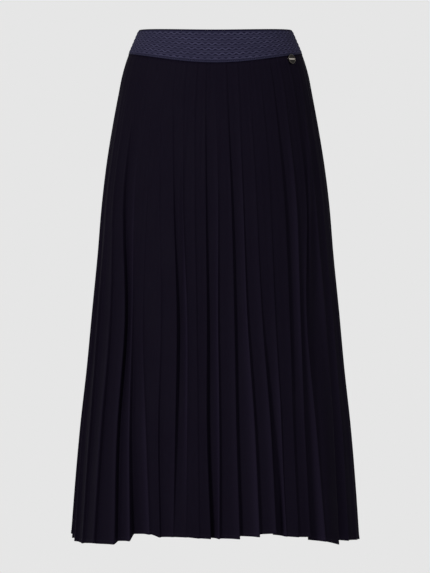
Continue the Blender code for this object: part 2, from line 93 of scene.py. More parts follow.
# Each pleat's outer fold, in centimetres round the cloth from the centre of its panel at five heights. Deep compares
# the step down behind the fold with the usual one at the same heights, and lift is how many millimetres the hem at
# the fold hangs above the panel's smooth hem line.
Fold = namedtuple("Fold", "hip thigh knee calf hem deep lift")
FOLD_HEIGHTS = (10.0, 25.0, 45.0, 62.0, 79.1)
FRONT_FOLDS = (
    Fold(-19.9, -23.5, -26.3, -28.7, -30.7, deep=(0.6, 0.7, 0.8, 0.8, 0.9), lift=12),
    Fold(-18.4, -21.6, -23.8, -26.0, -27.6, deep=(0.6, 0.8, 0.9, 0.8, 0.9), lift=1),
    Fold(-16.8, -19.6, -21.2, -22.9, -24.2, deep=(0.6, 0.8, 1.0, 1.1, 0.8), lift=-2),
    Fold(-15.1, -17.6, -17.9, -19.4, -20.6, deep=(0.8, 1.0, 1.2, 1.2, 1.0), lift=-2),
    Fold(-13.4, -15.3, -14.8, -16.0, -16.2, deep=(1.0, 2.3, 2.4, 1.9, 1.8), lift=-5),
    Fold(-11.7, -13.0, -13.3, -13.6, -13.4, deep=(0.6, 0.5, 0.9, 1.6, 2.6), lift=-1),
    Fold(-10.2, -10.8, -11.4, -10.8, -10.1, deep=(0.6, 0.5, 0.6, 0.5, 0.4), lift=8),
    Fold(-8.5, -8.7, -8.4, -8.8, -8.5, deep=(0.6, 0.4, 0.5, 0.8, 0.9), lift=3),
    Fold(-6.7, -6.5, -5.9, -6.1, -6.4, deep=(0.8, 1.4, 2.3, 1.5, 0.2), lift=3),
    Fold(-4.9, -5.0, -4.3, -4.3, -4.4, deep=(0.7, 0.9, 0.4, 0.2, 0.15), lift=2),
    Fold(-3.2, -3.2, -2.9, -2.7, -2.5, deep=(0.8, 0.5, 0.5, 0.3, 0.3), lift=0),
    Fold(-1.6, -1.5, -1.3, -1.3, -0.7, deep=(1.5, 1.8, 2.0, 2.1, 2.2), lift=-1),
    Fold(0.1, 0.4, 0.4, 0.6, 0.6, deep=(0.6, 0.8, 1.0, 1.1, 1.0), lift=-1),
    Fold(1.8, 2.4, 2.9, 3.2, 3.7, deep=(1.8, 2.2, 1.9, 1.6, 1.5), lift=-1),
    Fold(3.6, 4.2, 4.9, 6.0, 6.7, deep=(0.5, 0.9, 1.2, 1.3, 1.1), lift=3),
    Fold(5.4, 6.2, 7.2, 8.5, 9.4, deep=(0.5, 0.5, 1.0, 2.0, 2.8), lift=9),
    Fold(7.3, 8.4, 9.3, 10.3, 11.3, deep=(0.5, 0.4, 0.5, 0.4, 0.3), lift=5),
    Fold(9.3, 10.8, 11.7, 12.2, 13.0, deep=(1.8, 2.4, 1.7, 0.9, 0.5), lift=5),
    Fold(11.2, 12.9, 13.6, 14.2, 15.1, deep=(0.6, 0.8, 1.3, 1.4, 1.5), lift=6),
    Fold(13.2, 15.0, 14.8, 16.4, 17.9, deep=(1.5, 2.2, 1.6, 0.5, 0.4), lift=0),
    Fold(15.2, 17.1, 19.2, 20.6, 21.3, deep=(1.0, 1.6, 1.8, 2.0, 2.4), lift=-4),
    Fold(16.8, 19.3, 21.8, 23.6, 24.6, deep=(0.7, 0.8, 0.8, 0.7, 0.8), lift=2),
    Fold(18.2, 21.3, 24.1, 26.3, 27.8, deep=(0.7, 0.8, 0.9, 0.9, 0.8), lift=3),
    Fold(19.5, 23.2, 26.2, 28.6, 30.6, deep=(0.7, 0.8, 0.8, 0.9, 0.9), lift=3),
)
BACK_FOLDS = (
    Fold(-19.9, -23.6, -26.5, -29.0, -31.0, deep=(0.7, 0.8, 0.9, 0.8, 0.9), lift=3),
    Fold(-18.3, -21.5, -24.3, -26.7, -28.4, deep=(0.6, 0.7, 0.7, 0.8, 0.8), lift=1),
    Fold(-16.5, -19.3, -21.9, -24.4, -25.9, deep=(0.7, 0.9, 1.1, 1.1, 1.0), lift=-2),
    Fold(-14.8, -17.3, -19.3, -21.0, -22.3, deep=(1.0, 1.5, 1.6, 1.5, 1.6), lift=-4),
    Fold(-13.1, -15.5, -17.2, -18.7, -20.2, deep=(0.6, 0.5, 0.5, 0.5, 0.4), lift=-2),
    Fold(-11.5, -13.4, -15.1, -16.6, -18.0, deep=(0.7, 0.8, 0.7, 0.6, 0.8), lift=1),
    Fold(-9.8, -11.3, -12.4, -13.7, -14.5, deep=(1.0, 1.4, 1.4, 1.3, 1.5), lift=4),
    Fold(-8.1, -9.5, -10.3, -11.1, -12.1, deep=(0.6, 0.6, 0.7, 0.9, 0.7), lift=2),
    Fold(-6.4, -7.4, -8.4, -9.2, -10.0, deep=(0.6, 0.7, 0.5, 0.4, 0.5), lift=1),
    Fold(-4.7, -5.4, -5.8, -6.3, -6.7, deep=(1.4, 1.7, 1.5, 1.4, 1.5), lift=0),
    Fold(-3.1, -3.6, -3.7, -4.0, -4.4, deep=(0.7, 0.8, 0.8, 0.9, 0.8), lift=-1),
    Fold(-1.4, -1.7, -1.9, -2.3, -2.5, deep=(0.6, 0.5, 0.4, 0.4, 0.4), lift=0),
    Fold(0.3, 0.5, 0.7, 0.9, 1.1, deep=(1.0, 1.3, 1.2, 1.3, 1.4), lift=1),
    Fold(2.0, 2.4, 2.7, 2.8, 3.1, deep=(0.7, 0.8, 0.7, 0.6, 0.7), lift=-1),
    Fold(3.7, 4.2, 4.8, 5.3, 5.4, deep=(0.6, 0.5, 0.6, 0.7, 0.6), lift=-2),
    Fold(5.3, 6.3, 7.5, 8.4, 9.0, deep=(1.3, 1.7, 1.7, 1.7, 1.6), lift=-4),
    Fold(7.0, 8.3, 9.4, 10.2, 11.2, deep=(0.6, 0.6, 0.5, 0.5, 0.6), lift=0),
    Fold(8.8, 10.3, 11.5, 12.6, 13.3, deep=(0.7, 0.7, 0.8, 0.9, 0.8), lift=4),
    Fold(10.5, 12.5, 14.1, 15.4, 16.7, deep=(1.2, 1.5, 1.4, 1.2, 1.3), lift=5),
    Fold(12.2, 14.3, 16.0, 17.4, 18.7, deep=(0.6, 0.5, 0.5, 0.5, 0.4), lift=2),
    Fold(13.9, 16.4, 18.5, 20.0, 21.3, deep=(0.7, 0.9, 1.0, 0.8, 1.0), lift=-1),
    Fold(15.7, 18.7, 21.3, 23.3, 25.1, deep=(1.0, 1.3, 1.4, 1.5, 1.4), lift=-3),
    Fold(17.5, 20.8, 23.5, 25.7, 27.6, deep=(0.6, 0.7, 0.7, 0.8, 0.8), lift=0),
    Fold(19.3, 22.9, 25.8, 28.2, 30.2, deep=(0.7, 0.8, 0.9, 1.0, 0.9), lift=3),
)

# How deep the usual pleat is at each height, in centimetres.
DEPTH_HEIGHTS = (3.8, 10.0, 20.0, 35.0, 55.0, 79.1)
PLEAT_DEPTHS = (0.04, 0.08, 0.18, 0.30, 0.44, 0.55)
# The inner fold of a pleat no deeper than FLAT_PLEAT lies LEAD past its outer fold. Each millimetre of depth more moves
# it back under the outer fold by UNDERCUT, and each millimetre inside lifts the hem there by INNER_HEM_LIFT.
LEAD = 2.4 * MM
FLAT_PLEAT = 2.0 * MM
UNDERCUT = 0.30
INNER_HEM_LIFT = 0.12
# The hem runs on past a pleat shallower than the first depth, and steps at one deeper than the second.
HEM_RUNS_ON = 2.0 * MM
HEM_STEPS = 9.0 * MM

# One pleat's section, from just past an outer fold, back under it to the inner fold, and out to the next outer fold:
# the share of the way back under the fold, the share of the way on to the next fold, the share of the depth, and how
# much painted highlight lies there, lighter along the outer fold where the light catches it.
PleatPoint = namedtuple("PleatPoint", "under along inside rubbed")
FOLD_POINTS = 3
PLEAT = (
    PleatPoint(under=0.10, along=0.00, inside=0.08, rubbed=0.0),
    PleatPoint(under=0.45, along=0.00, inside=0.42, rubbed=0.0),
    PleatPoint(under=0.90, along=0.00, inside=0.90, rubbed=0.0),
    PleatPoint(under=1.00, along=0.04, inside=1.00, rubbed=0.0),
    PleatPoint(under=1.00, along=0.14, inside=0.94, rubbed=0.0),
    PleatPoint(under=1.00, along=0.34, inside=0.82, rubbed=0.05),
    PleatPoint(under=1.00, along=0.58, inside=0.68, rubbed=0.15),
    PleatPoint(under=1.00, along=0.78, inside=0.44, rubbed=0.5),
    PleatPoint(under=1.00, along=0.90, inside=0.06, rubbed=1.0),
    PleatPoint(under=1.00, along=1.00, inside=-0.06, rubbed=0.6),
)
# The part of it that shows, from the inner fold to the next outer fold.
FACE = PLEAT[FOLD_POINTS:]
# A pleat this deep has its whole share of the painted highlight, and a shallower one has much less.
FULL_HIGHLIGHT_DEPTH = 8.0 * MM
# A side seam lies part of the way along a pleat's face, and these are the shares of that part that get a point.
SEAM_FACE = (0.0, 0.3, 0.6, 0.85, 1.0)

# Soft creases and rolls laid over the pleats: where each starts and ends round the cloth and down it, in centimetres,
# half its width in centimetres, and how many millimetres it sinks in. A roll stands out, so its depth is negative.
Crease = namedtuple("Crease", "from_round to_round from_below to_below spread depth")
FRONT_CREASES = (
    Crease(-5.5, -5.1, 18.0, 38.0, 0.25, 1.6),
    Crease(16.0, 15.7, 16.0, 48.0, 0.50, -6.0),
    Crease(17.6, 18.6, 34.0, 79.1, 1.30, -3.0),
    Crease(21.4, 22.9, 52.0, 79.1, 1.20, 10.0),
    Crease(-20.4, -22.6, 30.0, 60.0, 0.70, -2.0),
    Crease(-4.0, -3.6, 58.0, 79.1, 2.60, -3.0),
    Crease(10.4, 10.9, 58.0, 79.1, 1.00, 8.0),
    Crease(-9.6, -9.4, 26.0, 44.0, 0.90, 1.4),
    Crease(6.2, 6.8, 15.0, 34.0, 1.30, -1.2),
    Crease(22.6, 23.6, 55.0, 79.1, 0.80, 3.0),
)
BACK_CREASES = (
    Crease(-7.0, -7.9, 16.0, 40.0, 0.50, 1.5),
    Crease(3.2, 4.4, 30.0, 62.0, 0.60, -2.0),
    Crease(12.8, 14.8, 24.0, 52.0, 0.70, -2.2),
    Crease(-14.2, -16.2, 46.0, 79.1, 0.90, 2.4),
    Crease(-1.0, -1.2, 55.0, 79.1, 1.60, -2.4),
    Crease(9.4, 10.4, 60.0, 79.1, 0.80, 2.6),
)
# Long slow waves in the hang of the cloth, and fine pressed-in streaks that show most under the waistband: how many go
# round half the skirt, how far each leans over its length as a share of a wave, where it starts, and how deep it is at
# the top and at the hem in millimetres.
Wave = namedtuple("Wave", "count lean start top hem")
WAVES = (
    Wave(count=3.0, lean=0.22, start=0.10, top=0.0, hem=0.9),
    Wave(count=5.0, lean=-0.35, start=0.62, top=0.0, hem=0.7),
    Wave(count=9.0, lean=0.55, start=0.31, top=0.1, hem=0.5),
    Wave(count=43.0, lean=1.40, start=0.0, top=0.16, hem=0.10),
    Wave(count=61.0, lean=-2.10, start=0.4, top=0.13, hem=0.05),
    Wave(count=79.0, lean=0.80, start=0.7, top=0.09, hem=0.03),
)

# Rows of points down to the narrow hem, and then its own rows, in millimetres above the edge. The cloth is folded
# double below HEM_FOLD, and the hem's stitches lie on the row at HEM_SEWN.
CLOTH_ROWS = 84
HEM_ROWS = (8.0, 5.4, 4.8, 3.4, 1.8, 0.6, 0.0)
HEM_FOLD = 5.0
HEM_SEWN = 4.8
CLOTH_THICKNESS = 0.5 * MM
HEM_THICKNESS = 1.1 * MM
# Points closer than this are one point where a sheet comes back on itself.
SAME_POINT = 0.005 * MM


def smooth(at, stations, values):
    """Values at a height, on smooth curves through the values at the stations."""
    stations = np.asarray(stations, float)
    values = np.asarray(values, float)
    slopes = np.gradient(values, stations, axis=-1)
    i = int(np.clip(np.searchsorted(stations, at) - 1, 0, len(stations) - 2))
    span = stations[i + 1] - stations[i]
    t = np.clip((at - stations[i]) / span, 0.0, 1.0)
    start = (1 + 2 * t) * (1 - t) ** 2 * values[..., i] + t * (1 - t) ** 2 * slopes[..., i] * span
    end = t * t * (3 - 2 * t) * values[..., i + 1] - t * t * (1 - t) * slopes[..., i + 1] * span
    return start + end


class Outline:
    """The oval of the tube at one height. Round is measured along it in metres, from the centre front to the right."""

    def __init__(self, below):
        stations = [section.below for section in SECTIONS]
        half_width, half_depth, set_back = (
            float(smooth(below, stations, [getattr(section, name) for section in SECTIONS])) * CM
            for name in ("half_width", "half_depth", "set_back")
        )
        angle = np.linspace(-math.pi, math.pi, OUTLINE_POINTS + 1)
        power = 2 / SQUARENESS
        self.x = half_width * np.sign(np.sin(angle)) * np.abs(np.sin(angle)) ** power
        self.y = set_back - half_depth * np.sign(np.cos(angle)) * np.abs(np.cos(angle)) ** power
        length = np.concatenate([[0.0], np.cumsum(np.hypot(np.diff(self.x), np.diff(self.y)))])
        self.half = length[-1] / 2
        self.round = length - self.half

    def at(self, round_to):
        wrapped = (np.asarray(round_to) + self.half) % (2 * self.half) - self.half
        return np.stack([np.interp(wrapped, self.round, self.x), np.interp(wrapped, self.round, self.y)], axis=-1)

    def points(self, round_to, inward):
        """Points (x, y) at distances round the oval, moved towards the inside."""
        step = self.half * SLOPE_SHARE
        run = self.at(round_to + step) - self.at(round_to - step)
        run /= np.linalg.norm(run, axis=-1)[..., None]
        outward = np.stack([run[..., 1], -run[..., 0]], axis=-1)
        return self.at(round_to) - outward * np.asarray(inward)[..., None]


def level(share, at_sides, front, back):
    """A height that changes smoothly round the tube, from its value at the side seams by this much more at the front
    and at the back. The share is 0 at the centre front and 1 or -1 at the back."""
    swing = np.cos(math.pi * np.asarray(share))
    return at_sides + swing * swing * np.where(swing > 0, front, back)


def rim_height(share):
    return BAND_MIDDLE + level(share, 0.0, -RIM_DIP_FRONT, -RIM_DIP_BACK)


def seam_height(share):
    return BAND_MIDDLE + level(share, -BAND_AT_SIDES, -BAND_DIP_FRONT, -BAND_DIP_BACK)


def hem_height(share):
    return BAND_MIDDLE + level(share, -HEM_AT_SIDES, HEM_RISE_FRONT, HEM_RISE_BACK)


def fold_places(folds, below):
    """How far round from its panel's centre each outer fold lies at this height, in metres."""
    if below <= FOLD_HEIGHTS[0]:
        shrink = Outline(below).half / Outline(FOLD_HEIGHTS[0]).half
        return np.array([fold.hip * CM * shrink for fold in folds])
    return smooth(below, FOLD_HEIGHTS, [fold[:5] for fold in folds]) * CM


def fold_depths(folds, below):
    """How deep the pleat under each outer fold is at this height, in metres."""
    usual = float(smooth(below, DEPTH_HEIGHTS, PLEAT_DEPTHS)) * CM
    return usual * smooth(max(below, FOLD_HEIGHTS[0]), FOLD_HEIGHTS, [fold.deep for fold in folds])


def first_lift(behind, own, depth):
    """The hem's lift at the start of a pleat's face, from the lift of the fold behind it and its own."""
    step = float(np.clip((depth - HEM_RUNS_ON) / (HEM_STEPS - HEM_RUNS_ON), 0.0, 1.0))
    return behind + (own - behind) * step


def pleat_line(below, folds, other):
    """The corners of a panel's cloth at one height, as rows of place, how far inside, lift and painted fold highlight.
    """
    edge = Outline(below).half / 2
    places = fold_places(folds, below)
    depths = fold_depths(folds, below)
    across = fold_places(other, below)
    before = across[-1] - 2 * edge
    after = across[0] + 2 * edge
    line = []

    def add_pleat(start, end, depth, behind, own, shape):
        """Points of the pleat between two outer folds, each a share of the way under, along and inside."""
        lead = LEAD - UNDERCUT * max(0.0, depth - FLAT_PLEAT)
        lift = first_lift(behind, own, depth)
        # Deeper pleats get more of the painted highlight along their outer folds.
        highlight_share = min(1.0, depth / FULL_HIGHLIGHT_DEPTH) ** 2
        for point in shape:
            under = start + lead * point.under
            inside = depth * point.inside
            here = lift + (own - lift) * point.along
            if point.under < 1.0:
                here = behind + (lift - behind) * point.under
            here += INNER_HEM_LIFT * inside / MM
            line.append([under + (end - under) * point.along, inside, here, highlight_share * point.rubbed])

    def face_parts(start, end):
        """Points of a face between two shares of the way along it, on the same profile as the pleats'."""
        shares = [start + (end - start) * part for part in SEAM_FACE]
        alongs = [point.along for point in FACE]
        insides = np.interp(shares, alongs, [point.inside for point in FACE])
        highlights = np.interp(shares, alongs, [point.rubbed for point in FACE])
        return [PleatPoint(1.0, share, float(inside), highlight) for share, inside, highlight in zip(shares, insides, highlights)]

    seam = (-edge - before) / (places[0] - before)
    depth = fold_depths(other, below)[-1]
    add_pleat(before, places[0], depth, other[-1].lift, folds[0].lift, face_parts(seam, 1.0))
    for i in range(1, len(folds)):
        add_pleat(places[i - 1], places[i], depths[i - 1], folds[i - 1].lift, folds[i].lift, PLEAT)
    seam = (edge - places[-1]) / (after - places[-1])
    last = [*PLEAT[: FOLD_POINTS + 1], *face_parts(0.0, seam)[1:]]
    add_pleat(places[-1], after, depths[-1], folds[-1].lift, other[0].lift, last)
    line[0][0] = -edge
    line[-1][0] = edge
    return np.array(line)


def rounded(line):
    """Twice as many points on the soft curve that a line's corners pull towards them. The ends stay where they are."""
    padded = np.vstack([2 * line[:1] - line[1:2], line, 2 * line[-1:] - line[-2:-1]])
    at_corners = (padded[:-2] + 4 * padded[1:-1] + padded[2:]) / 6
    ends = np.vstack([padded[:1], padded, padded[-1:]])
    between = (ends[1:-4] + 23 * ends[2:-3] + 23 * ends[3:-2] + ends[4:-1]) / 48
    made = np.empty((len(at_corners) + len(between), line.shape[1]))
    made[0::2] = at_corners
    made[1::2] = between
    return made


def hang(places, below, creases, half):
    """How far the creases and waves move the cloth inwards at one height."""
    down = (below - PANEL_TOP) / (PANEL_BOTTOM - PANEL_TOP)
    moved = np.zeros(len(places))
    for crease in creases:
        along = (below - crease.from_below) / (crease.to_below - crease.from_below)
        if not 0 < along <= 1:
            continue
        fades_out = crease.to_below < PANEL_BOTTOM
        strength = math.sin(math.pi * along) if fades_out else math.sin(math.pi / 2 * along)
        centre = (crease.from_round + (crease.to_round - crease.from_round) * along) * CM
        moved += crease.depth * MM * strength * np.exp(-(((places - centre) / (crease.spread * CM)) ** 2))
    for wave in WAVES:
        turn = 2 * math.pi * (wave.count * places / half + wave.lean * down + wave.start)
        moved += (wave.top + (wave.hem - wave.top) * down) * MM * np.sin(turn)
    return moved


def cloth_grid(name, points, flat_places, closed=False):
    """A sheet of quads through rows of points, top row first, with its flat size in metres as its UV map. A closed one
    comes back on itself both ways."""
    rows, columns = points.shape[:2]
    mesh = bmesh.new()
    layer = mesh.loops.layers.uv.new("flat")
    row_number = mesh.verts.layers.int.new("row")
    column_number = mesh.verts.layers.int.new("column")
    bmesh.ops.create_grid(mesh, x_segments=columns - 1, y_segments=rows - 1, size=0.5)
    index = {}
    for vert in mesh.verts:
        column = round((vert.co.x + 0.5) * (columns - 1))
        row = round((0.5 - vert.co.y) * (rows - 1))
        index[vert] = (row, column)
        vert[row_number] = row
        vert[column_number] = column
        vert.co = points[row, column]
    for face in mesh.faces:
        face.smooth = True
        for loop in face.loops:
            loop[layer].uv = flat_places[index[loop.vert]]
    if closed:
        bmesh.ops.remove_doubles(mesh, verts=mesh.verts, dist=SAME_POINT)
    data = bpy.data.meshes.new(name)
    mesh.to_mesh(data)
    mesh.free()
    piece = bpy.data.objects.new(name, data)
    bpy.context.scene.collection.objects.link(piece)
    return piece


def set_values(piece, name, values):
    """A value at each point of a sheet, by its row and column, for its material to read."""
    layer = piece.data.attributes.new(name, "FLOAT", "POINT")
    row_of = piece.data.attributes["row"].data
    column_of = piece.data.attributes["column"].data
    for vert in piece.data.vertices:
        layer.data[vert.index].value = values[row_of[vert.index].value][column_of[vert.index].value]


def panel_points(below, folds, other, creases, centre):
    """Points of a panel's cloth at one height, with the distance of each along the cloth and its painted fold
    highlight.
    """
    outline = Outline(below)
    line = rounded(pleat_line(below, folds, other))
    places, inside, lift, rubbed = line.T
    down = (below - PANEL_TOP) / (PANEL_BOTTOM - PANEL_TOP)
    inside = inside + hang(places, below, creases, outline.half)
    flat = outline.points(centre * outline.half + places, inside)
    share = centre + places / outline.half
    upper = seam_height(share) + SEAM_TUCK
    heights = upper + (hem_height(share) - upper) * down + lift * MM * down**3
    steps = np.hypot(*np.diff(flat, axis=0).T)
    along = np.concatenate([[0.0], np.cumsum(steps)])
    return np.column_stack([flat, heights]), along - along[-1] / 2, rubbed


def make_panel(name, node, folds, other, creases, centre):
    """A pleated panel as a thin shell, thicker where its hem is folded double."""
    length = (PANEL_BOTTOM - PANEL_TOP) * CM
    body = np.linspace(0.0, length - HEM_ROWS[0] * MM, CLOTH_ROWS, endpoint=False)
    downs = np.concatenate([body, length - np.array(HEM_ROWS) * MM])
    rows = [panel_points(PANEL_TOP + down / CM, folds, other, creases, centre) for down in downs]
    points = np.array([row[0] for row in rows])
    flat_places = np.array([np.column_stack([row[1], np.full(len(row[1]), -down)]) for row, down in zip(rows, downs)])
    panel = cloth_grid(name, points, flat_places)
    # The painted fold highlight goes on the panel as an attribute that its material reads.
    set_values(panel, "rubbed", [row[2] for row in rows])
    doubled = panel.vertex_groups.new(name="doubled")
    row_of = panel.data.attributes["row"].data
    hem = [vert.index for vert in panel.data.vertices if length - downs[row_of[vert.index].value] < HEM_FOLD * MM]
    doubled.add(hem, 1.0, "REPLACE")
    shell = panel.modifiers.new("cloth", "SOLIDIFY")
    shell.thickness = HEM_THICKNESS
    shell.offset = 0.0
    shell.vertex_group = doubled.name
    shell.thickness_vertex_group = CLOTH_THICKNESS / HEM_THICKNESS
    panel.data.materials.append(crepe)
    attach(panel, "root")
    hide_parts(node)
    return points


def new_material(name, colour, roughness, metallic=0.0, specular=0.5):
    """A material with its Principled shader's own values set, returned with its tree and shader."""
    made = bpy.data.materials.new(name)
    made.use_nodes = True
    tree = made.node_tree
    shader = tree.nodes["Principled BSDF"]
    shader.inputs["Base Color"].default_value = (*colour, 1.0)
    shader.inputs["Roughness"].default_value = roughness
    shader.inputs["Metallic"].default_value = metallic
    shader.inputs["Specular IOR Level"].default_value = specular
    return made, tree, shader


def fill(tree, node, inputs):
    """A node's inputs by name: a plain value is set, and another node's output is linked."""
    for key, value in dict(inputs).items():
        if isinstance(value, bpy.types.NodeSocket):
            tree.links.new(value, node.inputs[key])
        else:
            node.inputs[key].default_value = value


def add_node(tree, kind, inputs=(), **settings):
    made = tree.nodes.new(kind)
    for key, value in settings.items():
        setattr(made, key, value)
    fill(tree, made, inputs)
    return made


def blend(tree, share, first, second):
    """A value between two others, by a share from 0 to 1."""
    mix = add_node(tree, "ShaderNodeMix", {"Factor": share, "A": first, "B": second}, data_type="FLOAT")
    return mix.outputs["Result"]


def tint(tree, share, first, second):
    """A colour between two others, by a share from 0 to 1. Each is a plain colour or a node's output."""
    pair = [(*colour, 1.0) if isinstance(colour, tuple) else colour for colour in (first, second)]
    return add_node(tree, "ShaderNodeMixRGB", {"Fac": share, "Color1": pair[0], "Color2": pair[1]}).outputs["Color"]


def bumped(tree, height, strength, distance):
    inputs = {"Height": height, "Strength": strength, "Distance": distance}
    return add_node(tree, "ShaderNodeBump", inputs).outputs["Normal"]


def effect_group(name, outputs):
    """An empty node group that puts out these values, with the place it is given and its end node."""
    group = bpy.data.node_groups.new(name, "ShaderNodeTree")
    group.interface.new_socket("Vector", in_out="INPUT", socket_type="NodeSocketVector")
    for output in outputs:
        group.interface.new_socket(output, in_out="OUTPUT", socket_type="NodeSocketFloat")
    return group, group.nodes.new("NodeGroupInput").outputs["Vector"], group.nodes.new("NodeGroupOutput")


def crepe_grain():
    """Pebbled crepe: fine puckers drawn out along the warp, and a slow mottle from the dyeing. It puts out a height,
    a tone and the mottle, all from 0 to 1."""
    group, given, result = effect_group("crepe_grain", ("Height", "Tone", "Mottle"))
    stretch = add_node(group, "ShaderNodeMapping", {"Vector": given, "Scale": (1.0, 0.38, 1.0)})
    pebbles = {"Vector": stretch.outputs["Vector"], "Scale": 1500.0, "Detail": 3.0, "Roughness": 0.65}
    puckers = add_node(group, "ShaderNodeTexNoise", pebbles)
    warp = add_node(group, "ShaderNodeMapping", {"Vector": given, "Scale": (1.0, 0.02, 1.0)})
    threads = add_node(group, "ShaderNodeTexNoise", {"Vector": warp.outputs["Vector"], "Scale": 2200.0, "Detail": 1.0})
    both = blend(group, 0.35, puckers.outputs["Fac"], threads.outputs["Fac"])
    spread = add_node(group, "ShaderNodeMapRange", {"Value": both, "From Min": 0.3, "From Max": 0.7})
    slow = add_node(group, "ShaderNodeTexNoise", {"Vector": given, "Scale": 14.0, "Detail": 3.0})
    fill(group, result, {"Height": both, "Tone": spread.outputs["Result"], "Mottle": slow.outputs["Fac"]})
    return group


# The crepe between its grains, on them, and the painted highlight along each outer fold where the light catches it. It
# is a little rougher in some places than others.
CREPE_DARK = (0.00125, 0.00088, 0.00225)
CREPE_LIGHT = (0.0026, 0.0018, 0.0044)
CREPE_PAINTED_HIGHLIGHT = (0.0040, 0.0029, 0.0067)
CREPE_ROUGHNESS = (0.62, 0.86)
CREPE_GRAIN_HEIGHT = 0.12 * MM

crepe, tree, shader = new_material("pleated_crepe", CREPE_LIGHT, 0.7, specular=0.012)
flat = add_node(tree, "ShaderNodeUVMap", uv_map="flat").outputs["UV"]
grain = add_node(tree, "ShaderNodeGroup", {"Vector": flat}, node_tree=crepe_grain())
colour = tint(tree, grain.outputs["Tone"], CREPE_DARK, CREPE_LIGHT)
rubbed = add_node(tree, "ShaderNodeAttribute", attribute_name="rubbed").outputs["Fac"]
least, most = CREPE_ROUGHNESS
rough = add_node(tree, "ShaderNodeMapRange", {"Value": grain.outputs["Mottle"], "To Min": least, "To Max": most})
finish = {
    "Base Color": tint(tree, rubbed, colour, CREPE_PAINTED_HIGHLIGHT),
    "Roughness": rough.outputs["Result"],
    "Normal": bumped(tree, grain.outputs["Height"], 0.6, CREPE_GRAIN_HEIGHT),
}
fill(tree, shader, finish)

front_points = make_panel("front_panel_cloth", "front_panel", FRONT_FOLDS, BACK_FOLDS, FRONT_CREASES, 0.0)
back_points = make_panel("back_panel_cloth", "back_panel", BACK_FOLDS, FRONT_FOLDS, BACK_CREASES, 1.0)

# The waistband: one wide tube of thick elastic, knitted in a lighter navy with rows of raised zigzags between a turned
# top edge and a plain border. It is sewn round the tops of both panels and stretches over the waist.

BAND_WALL = 2.0 * MM
BAND_PROUD = 1.1 * MM
ZIGZAG_WAVES = 68
ZIGZAG_SWING = 0.85 * MM
# Heights as shares of the band's: the turned edge, below which the zigzags start, where they end, and one row of them.
TURNED_EDGE = 0.06
ZIGZAG_BOTTOM = 0.92
ZIGZAG_ROW = 0.151
RIB_HEIGHT = 0.5 * MM
RIB_SHARPNESS = 1.7
# A fine rib runs between two bold ones, and the troughs are deepest under the waves' crests. Both are shares of a bold
# rib's height.
FINE_RIB = 0.22
DIMPLE = 0.30
# The shares of a row in which the zigzags fade in at the top, and out at the border.
FADES_IN = 0.3
FADES_OUT = 0.2
BORDER_RIB_HEIGHT = 0.25 * MM
# How light the knit is, from 0 for its dark yarn to 1 for its light one: its ground, the thin light line on each bold
# rib's crest, which is a painted highlight, the fainter one between two ribs, the dark dashes on both sides of a line,
# which are painted shade in the dimples, and the border, lighter on its ribs as a painted highlight. The turned top
# edge is darkest, below 0, so that the fine loops don't show in it.
GROUND_TONE = 0.32
RIB_HIGHLIGHT_TONE = 0.62
FINE_LINE_TONE = 0.30
LINE_SHARPNESS = 5.0
DIMPLE_SHADE_TONE = 0.80
BORDER_RIB_HIGHLIGHT_TONE = 0.32
# The turned top edge and its rounded rim are drawn darkest of the knit.
TURNED_EDGE_TONE = -0.5
# The pattern stands out more in some patches than in others: how many lie round the waist, how far they lean from one
# row to the next, and how much they differ.
PATCHES = 25
PATCH_LEAN = 2.1
BROAD_PATCHES = 6
BROAD_PATCH_LEAN = -1.3
PATCHINESS = 0.22
COLUMNS_IN_WAVE = 8
KNIT_ROWS = 46
# More heights of points, as shares of the band's: where the rounded rim ends, where the inside ends, and the rows
# between them, on the turned edge and on the border.
RIM_END = 0.03
INSIDE_END = 0.985
INSIDE_ROWS = (0.75, 0.5, 0.25)
RIM_TURNS = (0.0, 0.25, 0.5, 0.75, 1.0)
TURNED_EDGE_ROWS = (0.04, 0.05)
BORDER_END = 0.995
BORDER_ROWS = 10


def band_point(share, down, proud, swing=0.0):
    """A point of the waistband: its share of the way round, how far down it is, and how far it stands out."""
    outline = Outline(down * BAND_AT_SIDES / CM)
    flat = outline.points(np.asarray(share) * outline.half, -np.asarray(proud) * np.ones_like(share))
    rim = rim_height(share)
    return np.column_stack([flat, rim + (seam_height(share) - rim) * down + swing])


